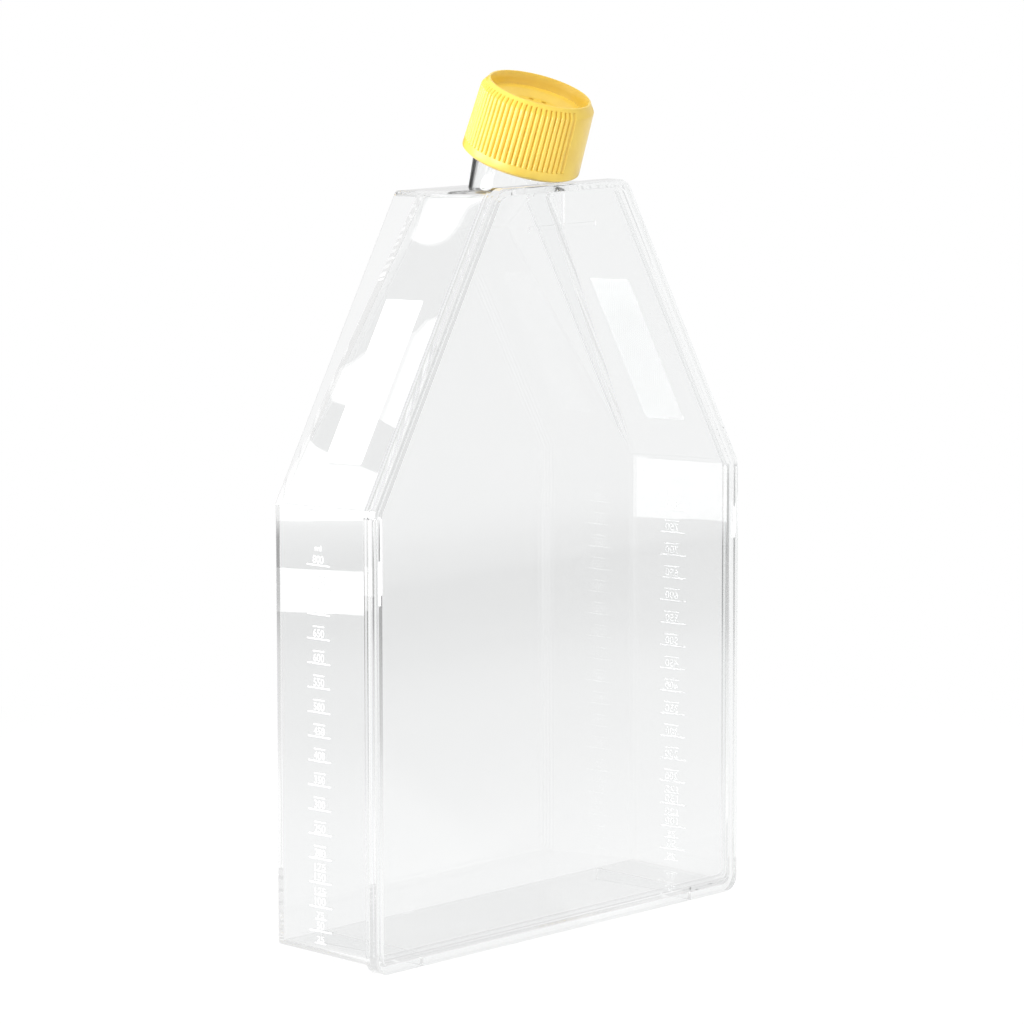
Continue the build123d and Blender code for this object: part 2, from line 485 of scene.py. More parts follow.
@dataclass(frozen=True)
class SoftWhite:
    """A matt white web or rubber with a fine grain."""

    name: str
    colour: Colour
    rough: float
    grain_size: float
    grain_height: float
    pit_share: float = 0.9

    def build(self) -> Material:
        """Builds the node material."""
        material, bench = new_material(self.name)
        grain = bench.grain(self.grain_size, detail=4.0, strength=0.6, height=self.grain_height)
        pits = opaque(self.colour, self.pit_share)
        skin = bench.add(
            "BsdfPrincipled",
            Base_Color=bench.blend(grain.outputs["Mask"], pits, opaque(self.colour)),
            Roughness=self.rough,
            Normal=grain.outputs["Normal"],
        )
        bench.show(skin.outputs[0])
        return material


# -------- the welded shells

@dataclass
class Shells:
    """The clear tray and cover, parted by a hairline of air where they are welded."""

    weld_gap: float = 0.03 * MM
    cover_thickness: float = 3.1 * MM
    near: float = 0.002 * MM

    def build(self) -> dict[str, Object]:
        """Copies both shells and opens the hairline between them.

        Returns:
            The pieces by name.
        """
        weld = SEAT.front + self.cover_thickness
        made = {}
        for node, name, shift, slot in (
            ("flask_tray", "tray_shell", self.weld_gap, "clear_body"),
            ("cover_plate", "cover_shell", 0.0, "clear_cover"),
        ):
            mesh = frame["nodes"][node].data.copy()
            mesh.name = name
            for vertex in mesh.vertices:
                if abs(vertex.co.y - weld) < self.near:
                    vertex.co.y += shift
            piece = linked(name, mesh)
            ride(piece, "flask")
            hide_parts(node)
            made[name] = piece
        return made

    def dress(self, pieces: dict[str, Object]) -> None:
        """Gives both shells their clear plastic."""
        dress(pieces["tray_shell"], ClearPlastic("clear tray polystyrene").build())
        dress(pieces["cover_shell"], ClearPlastic("clear cover polystyrene").build())


# -------- printing on the walls

class Side(Enum):
    """The side of the flask that a print is on."""

    LEFT = -1.0
    RIGHT = 1.0


@dataclass(frozen=True)
class PrintLayout:
    """Where one side's prints lie: depths from the cover's front and heights, in millimetres."""

    line: Pair
    tick: Pair
    digits_width: float
    patch: Pair
    patch_rise: Pair


@dataclass
class WallPrints:
    """The volume scale on both side walls and the label patches on both shoulders."""

    tray: Object
    lift: float = 0.02 * MM
    ink: float = 0.02 * MM
    wall_span: Pair = (20.0, 120.0)
    probe_depths: Pair = (22.0, 30.0)
    foot: float = 2.98
    rise_per_step: float = 7.404
    step: int = 50
    full: int = 800
    lowest_tick: int = 200
    small_numbers: tuple[int, ...] = (175, 125, 75, 25)
    small_share: float = 0.75
    small_gap_share: float = 0.6
    line_height: float = 0.38
    tick_height: float = 0.32
    bar_corner_share: float = 0.35
    bar_wear: Pair = (0.25, 0.2)
    digits: int = 3
    digit_height: float = 2.35
    digit_gap: float = 0.35
    digit_squeeze: float = 0.97
    digit_weight: float = -0.006
    unit_gap: float = 1.9
    unit_size: Pair = (2.7, 1.8)
    patch_corner: float = 0.5
    patch_corner_steps: int = 4
    hatch_pitch: float = 0.75 * MM
    smooth_below: float = 30.0
    letter_resolution: int = 3
    letter_half_depth: float = 0.5
    bar_corner_steps: int = 3
    layouts: ClassVar[dict[Side, PrintLayout]] = {
        Side.LEFT: PrintLayout((19.8, 29.6), (22.2, 27.2), 4.6, (13.9, 29.2), (151.5, 198.3)),
        Side.RIGHT: PrintLayout((20.85, 31.25), (23.6, 29.6), 5.2, (15.4, 30.7), (152.1, 198.9)),
    }

    def wall(self, side: Side, rise: Pair) -> Matrix:
        """Finds the outer face of a side wall or shoulder.

        Args:
            side: the side of the flask.
            rise: two heights in millimetres on the wanted face.

        Returns:
            From the face's plane to the frame: X along the depth as read from outside, Y up
            the face, Z outwards, from the cover's front at the lower height.
        """
        def touch(deep: float, up: float) -> Vector:
            """The place on the wall at this depth and height, in millimetres."""
            start = Vector((side.value, SEAT.front + deep * MM, up * MM))
            found, spot, _, _ = self.tray.ray_cast(start, Vector((-side.value, 0.0, 0.0)))
            if not found:
                raise RuntimeError("no wall where the print goes")
            return spot

        near, far = self.probe_depths
        low, high = touch(near, rise[0]), touch(near, rise[1])
        across = touch(far, rise[0]) - low
        up = (high - low).normalized()
        run = (across * side.value - up * (across * side.value).dot(up)).normalized()
        out = run.cross(up)
        grid = Matrix((run, up, out)).transposed().to_4x4()
        step = (SEAT.front - low.y) / run.y
        return Matrix.Translation(low + run * step + out * self.lift) @ grid

    def text(self, bm: BMesh, words: str, box: tuple[Pair, Pair], place: Matrix) -> None:
        """Adds thin solid lettering, stretched to fill a box.

        Args:
            bm: the mesh that takes it.
            words: what it says.
            box: its lower left and upper right corners on the wall, in millimetres.
            place: from the wall's plane to the frame.
        """
        curve = bpy.data.curves.new("lettering", "FONT")
        curve.body = words
        curve.resolution_u = self.letter_resolution
        curve.extrude = self.letter_half_depth
        curve.offset = self.digit_weight
        block = linked("lettering", curve)
        bpy.context.view_layer.update()
        mesh = bpy.data.meshes.new_from_object(block)
        bpy.data.objects.remove(block)
        bpy.data.curves.remove(curve)
        xs = [v.co.x for v in mesh.vertices]
        ys = [v.co.y for v in mesh.vertices]
        (left, low), (right, high) = box
        scale_x = (right - left) * MM / (max(xs) - min(xs))
        scale_y = (high - low) * MM / (max(ys) - min(ys))
        fit = (
            Matrix.Translation((left * MM, low * MM, self.ink / 2.0))
            @ Matrix.Diagonal((scale_x, scale_y, self.ink, 1.0))
            @ Matrix.Translation((-min(xs), -min(ys), 0.0))
        )
        mesh.transform(place @ fit)
        bm.from_mesh(mesh)
        bpy.data.meshes.remove(mesh)

    def bar(self, bm: BMesh, span: Pair, rise: float, height: float, place: Matrix) -> None:
        """Adds one printed line with slightly worn ends."""
        wear = random.uniform(0.0, self.bar_wear[0])
        ends = (span[0] + wear, span[1] - random.uniform(0.0, self.bar_wear[1]))
        middle = ((ends[0] + ends[1]) / 2.0 * MM, rise * MM)
        size = ((ends[1] - ends[0]) * MM, height * MM)
        outline = rounded_bar(middle, size, height * MM * self.bar_corner_share, self.bar_corner_steps)
        plate(bm, outline, place, self.ink)

    def build_scale(self, side: Side, name: str) -> Object:
        """Prints the volume scale on one side wall.

        Args:
            side: the side of the flask.
            name: the piece's name.

        Returns:
            The printed piece.
        """
        layout = self.layouts[side]
        place = self.wall(side, self.wall_span)

        def mirrored(span: Pair) -> Pair:
            """The span on this side's own plane, low end first."""
            low, high = (side.value * end for end in span)
            return (min(low, high), max(low, high))

        def level(volume: int) -> float:
            """How high the mark of a volume is above the plane's origin."""
            return self.foot + self.rise_per_step * volume / self.step - self.wall_span[0]

        bm = bmesh.new()
        line, tick = mirrored(layout.line), mirrored(layout.tick)
        middle = sum(tick) / 2.0

        def number(volume: int, base: float, share: float) -> None:
            """Prints a number with its foot at base, its height a share of the large ones."""
            word = str(volume)
            half = layout.digits_width * len(word) / self.digits * self.digit_squeeze / 2.0
            top = base + self.digit_height * share
            self.text(bm, word, ((middle - half, base), (middle + half, top)), place)

        for volume in range(self.step, self.full + 1, self.step):
            self.bar(bm, line, level(volume), self.line_height, place)
            number(volume, level(volume) + self.line_height / 2.0 + self.digit_gap, 1.0)
            if self.lowest_tick <= volume < self.full:
                self.bar(bm, tick, level(volume) + self.rise_per_step / 2.0, self.tick_height, place)
        for volume in self.small_numbers:
            self.bar(bm, tick, level(volume), self.tick_height, place)
            gap = self.tick_height / 2.0 + self.digit_gap * self.small_gap_share
            number(volume, level(volume) + gap, self.small_share)
        top = level(self.full) + self.digit_height + self.unit_gap
        half = self.unit_size[0] / 2.0
        self.text(bm, "ml", ((middle - half, top), (middle + half, top + self.unit_size[1])), place)
        return finish_piece(bm, name, "flask", self.smooth_below)

    def build_patch(self, side: Side, name: str) -> Object:
        """Lays the frosted label patch on one shoulder."""
        rise, span = self.layouts[side].patch_rise, self.layouts[side].patch
        place = self.wall(side, rise)
        length = (rise[1] - rise[0]) / place.col[1].z
        middle = side.value * sum(span) / 2.0 * MM
        size = ((span[1] - span[0]) * MM, length * MM)
        outline = rounded_bar((middle, size[1] / 2.0), size, self.patch_corner * MM, self.patch_corner_steps)
        bm = bmesh.new()
        plate(bm, outline, place, self.ink)
        return finish_piece(bm, name, "flask", self.smooth_below)

    def build(self) -> list[Object]:
        """Builds and dresses every print.

        Returns:
            The pieces.
        """
        pitch = self.hatch_pitch
        thick_ink = WhiteInk("thick scale ink", thinness=0.2).build()
        # The right side's scale ink and label white are the white ink made greyer (0.86 and 0.87): painted
        # shade on the right-hand prints, on top of their thinner, more translucent ink.
        shaded_right_ink = WhiteInk("thin scale ink", colour=(0.86, 0.86, 0.86)).build()
        thick = WhiteInk("thick frosted label white", hatch_pitch=pitch, thinness=0.2).build()
        thin = WhiteInk("frosted label white", colour=(0.87, 0.87, 0.87), hatch_pitch=pitch).build()
        made = []
        for side, word, ink, frost in (
            (Side.LEFT, "left", thick_ink, thick), (Side.RIGHT, "right", shaded_right_ink, thin),
        ):
            scale = self.build_scale(side, f"{word}_volume_scale")
            patch = self.build_patch(side, f"{word}_label_patch")
            dress(scale, ink)
            dress(patch, frost)
            made += [scale, patch]
        return made


# -------- the screw threads

@dataclass
class ThreadRidge:
    """A helical ridge about the neck's axis with run-out ends."""

    name: str
    body: str
    root: float
    crest: float
    start: float
    turns: float
    lead: float = 4.0
    root_width: float = 1.9
    crest_width: float = 0.8
    phase: float = 0.0
    steps_per_turn: int = 60
    run_out: float = 0.08
    least_swell: float = 0.04
    smooth_below: float = 25.0

    def build(self) -> Object:
        """Builds the ridge as one closed tube of four sides."""
        place = SEAT.neck_frame()
        bm = bmesh.new()
        count = round(self.turns * self.steps_per_turn)
        rings = []
        for step in range(count + 1):
            share = step / count
            turn = self.turns * share
            swell = min(1.0, share / self.run_out, (1.0 - share) / self.run_out)
            swell = max(self.least_swell, math.sin(swell * math.pi / 2.0))
            angle = TURN * (turn + self.phase)
            height = self.start + self.lead * turn
            crest = self.root + (self.crest - self.root) * swell
            rings.append([
                bm.verts.new(place @ (Vector((*on_circle(radius, angle), height + offset)) * MM))
                for radius, offset in (
                    (self.root, -self.root_width / 2.0),
                    (crest, -self.crest_width / 2.0),
                    (crest, self.crest_width / 2.0),
                    (self.root, self.root_width / 2.0),
                )
            ])
        bridge(bm, rings)
        bm.faces.new(rings[0][::-1])
        bm.faces.new(rings[-1])
        return finish_piece(bm, self.name, self.body, self.smooth_below)


# -------- the cap

@dataclass
class Cap:
    """The ribbed screw cap with its recessed, vented top, in millimetres from its foot.

    Its profiles are stations of (height, radius), and the grooves' run is stations of
    (height, share of their depth).
    """

    foot_curve: Pairs = ((0.0, 17.1), (0.25, 17.52), (0.65, 18.15), (0.95, 18.44))
    side_foot: Pair = (1.05, 18.5)
    side_top: Pair = (20.9, 17.8)
    rim_edge: Pair = (23.26, 16.2)
    edge_reach: float = 0.2
    edge_round: float = 0.01
    groove_run: Pairs = (
        (1.25, 0.0), (2.4, 0.0), (3.35, 0.0), (3.4, 0.25), (3.52, 0.7), (3.7, 0.95), (3.95, 1.0),
        (6.0, 1.0), (9.0, 1.0), (12.0, 1.0), (15.0, 1.0), (18.0, 1.0), (20.2, 1.0), (20.78, 1.0),
        (21.02, 1.0), (21.5, 1.0), (22.1, 0.95), (22.48, 0.6), (22.6, 0.0), (23.16, 0.0),
    )
    rim_round: float = 0.4
    rim_steps: int = 4
    recess: Pairs = (
        (23.65, 15.52), (23.5, 15.4), (21.3, 14.92), (20.05, 14.67), (19.8, 14.54), (19.7, 14.28),
        (19.7, 12.75), (19.64, 12.4), (19.5, 11.95), (18.45, 9.15), (18.26, 8.7), (18.2, 8.3),
    )
    pocket: Pairs = (
        (0.0, 16.3), (0.5, 16.2), (1.2, 15.9), (6.0, 15.9), (11.0, 15.9), (16.9, 15.9), (17.2, 15.6),
    )
    vent_count: int = 10
    vent_radius: float = 0.85
    vent_circle: float = 6.65
    vent_start: float = 18.0
    vent_steps: int = 20
    merge_within: float = 0.00001
    disc_slack: float = 0.0001
    vent_slack: float = 0.02
    groove_pitch: float = 5.4
    grooves_each_side: int = 25
    groove_depth: float = 0.9
    groove_curve: Pair = (2.6, 0.62)
    groove_stretch: float = 1.12
    panel_angle: float = -74.0
    panel_steps: int = 20
    rib_samples: tuple[float, ...] = (-0.97, -0.86, -0.68, -0.42, -0.14, 0.14, 0.42, 0.68, 0.86, 0.97)
    smooth_below: float = 32.0

    def bearings(self) -> list[Pair]:
        """Angles round the cap with the share of the groove's depth at each.

        Returns:
            (angle in radians, share) pairs in order.
        """
        half = self.grooves_each_side * self.groove_pitch / 2.0
        bare = 180.0 - 2.0 * half
        bulge, flatness = self.groove_curve
        found = []
        for middle in (self.panel_angle + 90.0, self.panel_angle + 270.0):
            for rib in range(self.grooves_each_side):
                centre = middle - half + (rib + 0.5) * self.groove_pitch
                for sample in self.rib_samples:
                    angle = centre + sample * self.groove_pitch / 2.0
                    share = 1.0 - (1.0 - abs(sample) ** bulge) ** flatness
                    found.append((angle, min(1.0, share * self.groove_stretch)))
            for step in range(1, self.panel_steps):
                found.append((middle + half + bare * step / self.panel_steps, 0.0))
        return [(math.radians(angle), share) for angle, share in found]

    def radius_at(self, height: float) -> float:
        """The outer radius at a height between the foot's curve and the rim, edge eased."""
        low, high = self.side_foot, self.side_top
        if height > self.side_top[0]:
            low, high = self.side_top, self.rim_edge
        ease = self.edge_round if abs(height - self.side_top[0]) < self.edge_reach else 0.0
        return low[1] + (high[1] - low[1]) * (height - low[0]) / (high[0] - low[0]) - ease

    def outside(self) -> list[Spot]:
        """The outer profile from the foot up.

        Returns:
            (height, radius, share of the grooves' depth) stations.
        """
        lines = [(height, radius, 0.0) for height, radius in self.foot_curve]
        lines += [(height, self.radius_at(height), share) for height, share in self.groove_run]
        for step in range(1, self.rim_steps + 1):
            inward, up = on_circle(self.rim_round, step / self.rim_steps * math.pi / 2.0)
            lines.append((self.rim_edge[0] + up, self.rim_edge[1] - self.rim_round + inward, 0.0))
        return lines

    def vent_middles(self) -> list[Pair]:
        """Where the vents' middles are across the axis."""
        first = math.radians(self.vent_start)
        return [
            on_circle(self.vent_circle, first + TURN * vent / self.vent_count)
            for vent in range(self.vent_count)
        ]

    def disc(self, bm: BMesh, ring: list[Vert], station: Pair, place: Matrix) -> list[list[Vert]]:
        """Closes a ring with a disc that has the vents in it.

        Args:
            bm: the mesh.
            ring: the ring of vertices round the disc.
            station: the disc's height and radius.
            place: from the cap's own frame to the flask's.

        Returns:
            The vents' edge rings.
        """
        height, reach = station
        steps, rim = self.vent_steps, len(ring)
        middles = self.vent_middles()
        points = [Vector(on_circle(reach, angle)) for angle, _ in self.bearings()]
        edges = [(i, (i + 1) % rim) for i in range(rim)]
        for x, y in middles:
            first = len(points)
            for step in range(steps):
                across, up = on_circle(self.vent_radius, TURN * step / steps)
                points.append(Vector((x + across, y + up)))
            edges += [(first + i, first + (i + 1) % steps) for i in range(steps)]
        found, _, faces, _, _, _ = delaunay_2d_cdt(points, edges, [], 0, self.merge_within)
        made = list(ring)
        for point in found[rim:]:
            made.append(bm.verts.new(place @ (Vector((point.x, point.y, height)) * MM)))
        for face in faces:
            middle = sum((found[i] for i in face), Vector((0.0, 0.0))) / len(face)
            to_vent = min((middle - Vector(vent)).length for vent in middles)
            in_vent = to_vent < self.vent_radius * (1.0 - self.vent_slack)
            if middle.length <= reach * (1.0 + self.disc_slack) and not in_vent:
                bm.faces.new([made[i] for i in face])
        return [made[rim + vent * steps:rim + (vent + 1) * steps] for vent in range(self.vent_count)]

    def build(self) -> Object:
        """Builds the cap.

        Returns:
            The piece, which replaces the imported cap.
        """
        place = SEAT.neck_frame()
        bearings = self.bearings()
        bm = bmesh.new()

        def ring(height: float, radius: float, grooved: float = 0.0) -> list[Vert]:
            """A ring of vertices at a station, let in by a share of the grooves' depth."""
            reach = [radius - self.groove_depth * share * grooved for _, share in bearings]
            return [
                bm.verts.new(place @ (Vector((*on_circle(reach[i], angle), height)) * MM))
                for i, (angle, _) in enumerate(bearings)
            ]

        outer = [ring(*station) for station in self.outside()]
        recess = [ring(*station) for station in self.recess]
        pocket = [ring(*station) for station in self.pocket]
        bridge(bm, [*pocket[::-1], *outer, *recess])
        top_vents = self.disc(bm, recess[-1], self.recess[-1], place)
        low_vents = self.disc(bm, pocket[-1], self.pocket[-1], place)
        for above, below in zip(top_vents, low_vents):
            bridge(bm, [above, below])
        piece = finish_piece(bm, "ribbed_cap", "cap", self.smooth_below)
        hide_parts("screw_cap")
        return piece


# -------- studio

@dataclass(frozen=True)
class Card:
    """A flat studio card that only reflections show."""

    name: str
    corners: tuple[Spot, ...]
    glow: float

    def hang(self) -> None:
        """Makes the card."""
        bm = bmesh.new()
        bm.faces.new([bm.verts.new(Vector(corner)) for corner in self.corners])
        card = mesh_object(bm, self.name)
        material, bench = new_material(self.name)
        seen = bench.mirrored(bench.add("LightPath"))
        light = bench.add("Emission", Color=opaque(WHITE), Strength=self.glow)
        bench.show(bench.shader_mix(seen, bench.add("BsdfTransparent").outputs[0], light.outputs[0]))
        material.cycles.emission_sampling = "NONE"
        dress(card, material)
        card.visible_shadow = False
        card.visible_camera = False
        card.visible_diffuse = False


@dataclass
class UpperCard:
    """The large card above, in white and grey strips that the shoulder mirrors.

    A strip's border points are millimetres across and up the card from its middle.
    """

    middle: Spot = (-0.383306, 0.70538704, 0.753576)
    across: Spot = (0.884, 0.468, 0.0)
    up: Spot = (0.268, -0.507, 0.819)
    white: float = 2.0
    grey_one: float = 0.57
    grey_two: float = 0.47
    high: Pairs = (
        (-10.6, 22.0), (-14.1, 25.3), (-16.6, 29.6), (-17.2, 34.1), (-16.2, 38.8), (-14.4, 44.2),
        (-12.7, 49.5), (-12.7, 53.3), (-14.1, 57.1), (-16.0, 70.0),
    )
    upper: Pairs = (
        (-60.0, 20.0), (-43.3, 4.8), (-40.7, -0.7), (-41.6, -7.8), (-39.4, -15.5), (-33.0, -34.1),
        (-32.5, -41.3), (-31.5, -46.9),
    )
    lower: Pairs = (
        (-40.4, -60.3), (-47.3, -56.0), (-63.1, -48.6), (-70.1, -45.7), (-90.0, -10.0),
    )
    foot: Pairs = (
        (-46.0, -78.5), (-48.4, -80.5), (-53.5, -79.8), (-58.8, -77.4), (-74.3, -69.7), (-78.3, -68.0),
        (-80.9, -65.8), (-110.0, -40.0),
    )
    crown: Pairs = ((5.0, 70.0), (3.1, 38.9), (-6.0, 19.6))
    outer: Pair = (-40.0, 70.0)
    inner: Pairs = ((-29.5, -45.0), (-21.9, -25.9), (-14.8, -7.0), (-8.0, 11.6))
    waist: Pair = (-37.8, -58.7)
    hem: Pairs = ((-140.0, -80.0), (-80.0, -160.0), (-54.2, -98.3), (-50.1, -88.4))

    def hang(self) -> None:
        """Hangs the strips from the top down."""
        high, upper, lower, foot = self.high, self.upper, self.lower, self.foot
        middle, across, up = (Vector(v) for v in (self.middle, self.across, self.up))
        for name, outline, glow in (
            ("top", (*self.crown, *high), self.white),
            ("grey one", (self.crown[-1], *high, self.outer, *upper, *self.inner), self.grey_one),
            ("middle", (*upper[::-1], *lower[::-1], self.waist), self.white),
            ("grey two", (*lower, *foot[::-1]), self.grey_two),
            ("foot", (*foot, *self.hem), self.white),
        ):
            corners = tuple(tuple(middle + across * (u * MM) + up * (v * MM)) for u, v in outline)
            Card(f"upper card {name}", corners, glow).hang()


@dataclass
class SideCards:
    """The cards near the floor that the side walls mirror.

    A floor card's corners are millimetres across and behind the cover's front, and a flag
    stands upright between two bearings, in degrees from +Y towards +X.
    """

    floor_lift: float = 0.5 * MM
    floor_glow: float = 2.6
    near: Pairs = ((-486, 697), (-573, 518), (-670, 605), (-576, 796))
    back: Pairs = ((-690, 850), (-795, 745), (-1050, 990), (-900, 1120))
    far: Pairs = ((-648, 566), (-668, 478), (-900, 600), (-880, 745))
    flag_distance: float = 1.3
    flag_heights: Pair = (0.05, 0.75)
    side_flag: Pair = (2.0, 11.0)
    side_glow: float = 0.42
    dark_flag: Pair = (11.0, 40.0)
    dark_glow: float = 0.05

    def hang(self) -> None:
        """Lays the floor cards and stands up the flags."""
        for name, points in (("near", self.near), ("back", self.back), ("far", self.far)):
            corners = tuple((x * MM, y * MM + SEAT.front, self.floor_lift) for x, y in points)
            Card(f"floor card {name}", corners, self.floor_glow).hang()
        low, high = self.flag_heights
        for name, (first, last), glow in (
            ("side flag", self.side_flag, self.side_glow),
            ("dark flag", self.dark_flag, self.dark_glow),
        ):
            one, two = (bearing(angle, 0.0) * self.flag_distance for angle in (first, last))
            corners = ((one.x, one.y, low), (two.x, two.y, low), (two.x, two.y, high), (one.x, one.y, high))
            Card(name, corners, glow).hang()


@dataclass(frozen=True)
class Softbox:
    """A rectangular lamp that faces the flask.

    Its azimuth is degrees from +Y towards +X, its elevation degrees above the floor, its
    distance and size metres, and its glow how bright its face is, where 1 is white.
    """

    name: str
    azimuth: float
    elevation: float
    distance: float
    size: Pair
    glow: float
    mirrored: bool = False

    def hang(self, aim: Vector) -> None:
        """Hangs the lamp so that it faces the aim."""
        data = bpy.data.lights.new(self.name, "AREA")
        data.shape = "RECTANGLE"
        data.size, data.size_y = self.size
        data.energy = self.glow * math.pi * self.size[0] * self.size[1]
        lamp = linked(self.name, data)
        way = bearing(self.azimuth, self.elevation)
        lamp.location = aim + way * self.distance
        lamp.rotation_mode = "QUATERNION"
        lamp.rotation_quaternion = way.to_track_quat("Z", "Y")
        lamp.visible_transmission = False
        lamp.visible_camera = False
        lamp.visible_glossy = self.mirrored


@dataclass
class Floor:
    """The white floor, whose reflections fall off with distance from the flask.

    The levels are (metres from the flask's middle, brightness that a reflection shows).
    """

    size: float = 20.0
    drop: float = 0.2 * MM
    matt: float = 0.9
    ramp_reach: float = 2.0
    ramp_top: float = 1.6
    shadow_share: float = 0.2
    shadow_reach: Pair = (0.12, 0.45)
    near_levels: Pairs = (
        (0.0, 1.25), (0.12, 1.0), (0.22, 0.84), (0.42, 0.74), (0.49, 0.62), (0.57, 0.42), (0.65, 0.38),
        (0.775, 0.38), (0.81, 0.60), (0.88, 0.78), (1.05, 0.87), (1.9, 0.87),
    )
    far_levels: Pairs = (
        (0.0, 1.3), (0.18, 1.06), (0.30, 0.95), (0.385, 0.84), (0.47, 0.62), (0.56, 0.56),
        (0.65, 0.48), (0.72, 0.37), (0.78, 0.36), (0.97, 0.37), (1.01, 0.50), (1.06, 0.75), (1.10, 1.55),
        (1.6, 1.4),
    )
    slant: float = 1.1
    slant_way: Pair = (0.656, 0.755)
    slant_shift: float = 0.055
    side_blend: Pair = (-0.15, 0.15)
    behind_way: Pair = (0.643, 0.766)
    behind_turn: Pair = (0.2, 0.32)
    behind_level: float = 1.05

    def build(self) -> None:
        """Lays the floor."""
        bm = bmesh.new()
        bmesh.ops.create_grid(bm, x_segments=1, y_segments=1, size=self.size)
        floor = mesh_object(bm, "floor")
        floor.location.z = -self.drop
        dress(floor, self.material())

    def material(self) -> Material:
        """Builds the floor's white: even to the camera, toned by distance in reflections."""
        material, bench = new_material("floor white")
        path = bench.add("LightPath")
        mirrored = bench.mirrored(path)
        parts = bench.add("SeparateXYZ", Vector=bench.add("NewGeometry").outputs["Position"])
        x, y = parts.outputs["X"], parts.outputs["Y"]
        reach = bench.maths("SQRT", self.along(bench, x, y, (x, y)))
        white = bench.add("Emission", Color=opaque(WHITE), Strength=1.0)
        matt = bench.add("BsdfDiffuse", Color=grey(self.matt))
        near = bench.span(reach, self.shadow_reach, (self.shadow_share, 0.0))
        shaded = bench.maths("MULTIPLY", path.outputs["Is Camera Ray"], near)
        plain = bench.shader_mix(shaded, white.outputs[0], matt.outputs[0])
        toned = bench.add("Emission", Color=opaque(WHITE), Strength=self.tone(bench, x, y, reach))
        glow = bench.shader_mix(mirrored, plain, toned.outputs[0])
        direct = bench.maths("MAXIMUM", path.outputs["Is Camera Ray"], path.outputs["Is Transmission Ray"])
        seen = bench.maths("MAXIMUM", path.outputs["Is Glossy Ray"], direct)
        bench.show(bench.shader_mix(seen, matt.outputs[0], glow))
        material.cycles.emission_sampling = "NONE"
        return material

    @staticmethod
    def along(bench: Bench, x: Socket, y: Socket, way: tuple[object, object]) -> Socket:
        """How far the place lies along a way on the floor."""
        return bench.maths("ADD", bench.maths("MULTIPLY", x, way[0]), bench.maths("MULTIPLY", y, way[1]))

    def levels(self, bench: Bench, stops: Pairs, distance: Socket) -> Socket:
        """The level that the stops give at a distance, as a share of the ramp's top."""
        share = bench.maths("DIVIDE", distance, self.ramp_reach)
        return bench.steps(share, tuple((r / self.ramp_reach, level / self.ramp_top) for r, level in stops))

    def tone(self, bench: Bench, x: Socket, y: Socket, reach: Socket) -> Socket:
        """How bright a reflection shows the floor.

        Args:
            bench: the floor's material bench.
            x: the place's X.
            y: the place's Y.
            reach: its distance from the flask's middle.

        Returns:
            The level, where 1 is white.
        """
        slant = bench.maths("MULTIPLY", self.along(bench, x, y, self.slant_way), self.slant)
        slanted = bench.maths("SUBTRACT", bench.maths("SUBTRACT", reach, slant), self.slant_shift)
        side = bench.span(bench.maths("SUBTRACT", x, y), self.side_blend, (0.0, 1.0))
        far = self.levels(bench, self.far_levels, reach)
        front = bench.blend(side, far, self.levels(bench, self.near_levels, slanted))
        ahead = bench.maths("MULTIPLY", front, self.ramp_top)
        turned = bench.maths("DIVIDE", self.along(bench, x, y, self.behind_way), reach)
        behind = bench.span(bench.maths("ABSOLUTE", turned), self.behind_turn, (0.0, 1.0))
        return bench.blend(behind, ahead, grey(self.behind_level))


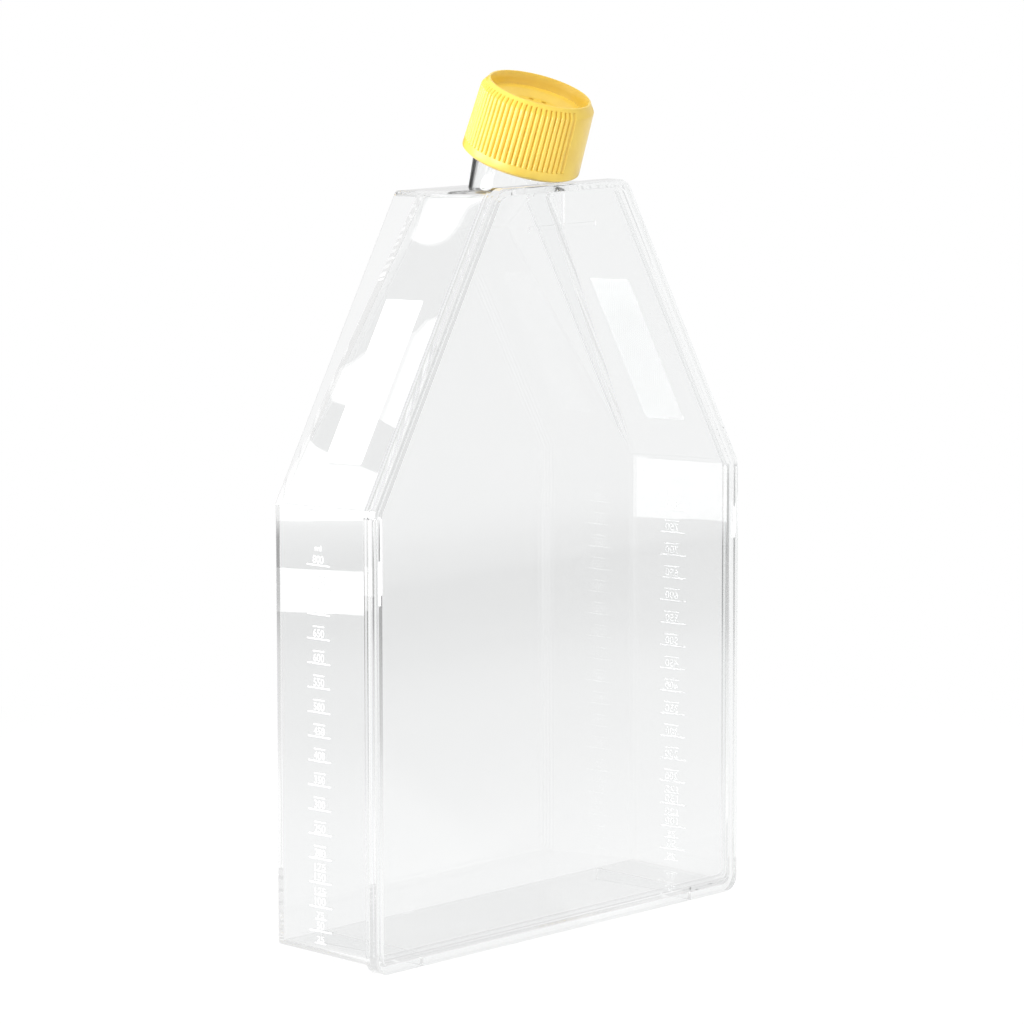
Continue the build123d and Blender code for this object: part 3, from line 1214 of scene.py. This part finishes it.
@dataclass
class Studio:
    """The camera, the surround and the soft lamps."""

    azimuth: float = 49.18186
    elevation: float = 7.45884
    roll: float = -0.10751
    distance: float = 1.617593
    focal: float = 184.250
    clip_end: float = 50.0
    aim: Spot = (-0.0016624, 0.0012841, 0.1295418)
    surround: float = 0.8
    fill: float = 0.56
    diffuse_bounces: int = 6
    clear_layers: int = 32
    lamps: tuple[Softbox, ...] = (
        Softbox("key softbox", -88.0, 3.0, 1.2, (0.5, 0.24), 19.0, mirrored=True),
        Softbox("left softbox", -70.0, 35.0, 1.3, (0.7, 0.7), 0.5, mirrored=True),
        Softbox("low softbox", -46.0, 12.0, 1.3, (0.7, 0.5), 7.5, mirrored=True),
        Softbox("top softbox", -110.0, 80.0, 1.2, (0.6, 0.6), 5.0),
        Softbox("right softbox", 170.0, 35.0, 1.8, (0.9, 0.9), 1.6),
        Softbox("back softbox", 62.0, 30.0, 1.8, (0.9, 0.9), 6.0),
    )

    def place_camera(self) -> None:
        """Sets the camera on its stand and makes it the scene's."""
        data = bpy.data.cameras.new("camera")
        data.lens = self.focal
        data.clip_end = self.clip_end
        camera = linked("camera", data)
        ahead = bearing(self.azimuth, -self.elevation)
        turn, lean = math.radians(self.azimuth), math.radians(self.roll)
        level = Vector((math.cos(turn), -math.sin(turn), 0.0))
        upright = level.cross(ahead)
        right = level * math.cos(lean) + upright * math.sin(lean)
        up = upright * math.cos(lean) - level * math.sin(lean)
        grid = Matrix((right, up, -ahead)).transposed().to_4x4()
        camera.matrix_world = Matrix.Translation(Vector(self.aim) - ahead * self.distance) @ grid
        bpy.context.scene.camera = camera

    def surround_world(self) -> None:
        """Surrounds the flask with white that reflections show a little darker."""
        world = bpy.data.worlds.new("surround")
        bpy.context.scene.world = world
        world.use_nodes = True
        bench = Bench(world.node_tree)
        path = bench.add("LightPath")
        mirrored = bench.mirrored(path)
        straight = bench.maths("SUBTRACT", 1.0, mirrored)
        clear = bench.maths("MULTIPLY", path.outputs["Is Transmission Ray"], straight)
        white = bench.maths("MAXIMUM", path.outputs["Is Camera Ray"], clear)
        around = bench.blend(mirrored, grey(self.fill), grey(self.surround))
        back = bench.add("Background", Color=bench.blend(white, around, opaque(WHITE)))
        bench.add("OutputWorld", Surface=back.outputs[0])

    def light(self) -> None:
        """Sets the surround, the render's light paths and the lamps."""
        self.surround_world()
        scene = bpy.context.scene
        scene.view_settings.view_transform = "Standard"
        scene.cycles.max_bounces = LAST_BOUNCE
        scene.cycles.transmission_bounces = LAST_BOUNCE
        scene.cycles.glossy_bounces = LAST_BOUNCE
        scene.cycles.diffuse_bounces = self.diffuse_bounces
        scene.cycles.transparent_max_bounces = self.clear_layers
        scene.cycles.caustics_reflective = False
        scene.cycles.caustics_refractive = True
        for lamp in self.lamps:
            lamp.hang(Vector(self.aim))


# -------- main

def main() -> None:
    """Builds every piece in order and reports it."""
    logging.basicConfig(level=logging.INFO, format="%(message)s")
    random.seed(SEED)
    studio = Studio()
    studio.place_camera()
    Floor().build()
    studio.light()
    SideCards().hang()
    UpperCard().hang()
    shells = Shells()
    pieces = shells.build()
    shells.dress(pieces)
    WallPrints(pieces["tray_shell"]).build()
    yellow = CapPlastic("yellow cap polyethylene").build()
    dress(Cap().build(), yellow)
    neck = ThreadRidge("neck_thread", "flask", root=14.62, crest=15.5, start=3.4, turns=2.2).build()
    dress(neck, ClearPlastic("clear thread polystyrene").build())
    grip = ThreadRidge(
        "cap_thread", "cap", root=15.88, crest=15.28, start=3.9, turns=2.1, phase=0.125,
    ).build()
    dress(grip, yellow)
    small_parts = {
        "vent_membrane": SoftWhite(
            "membrane web", (0.9, 0.9, 0.88), rough=0.8, grain_size=0.2 * MM, grain_height=0.02 * MM,
        ),
        "seal_ring": SoftWhite(
            "silicone seal", (0.8, 0.8, 0.77), rough=0.5, grain_size=0.8 * MM, grain_height=0.01 * MM,
        ),
    }
    for node, finish in small_parts.items():
        dress(frame["nodes"][node], finish.build())
        LOG.info("%s: packed node in %s", node, finish.name)


if __name__ == "__main__":
    main()
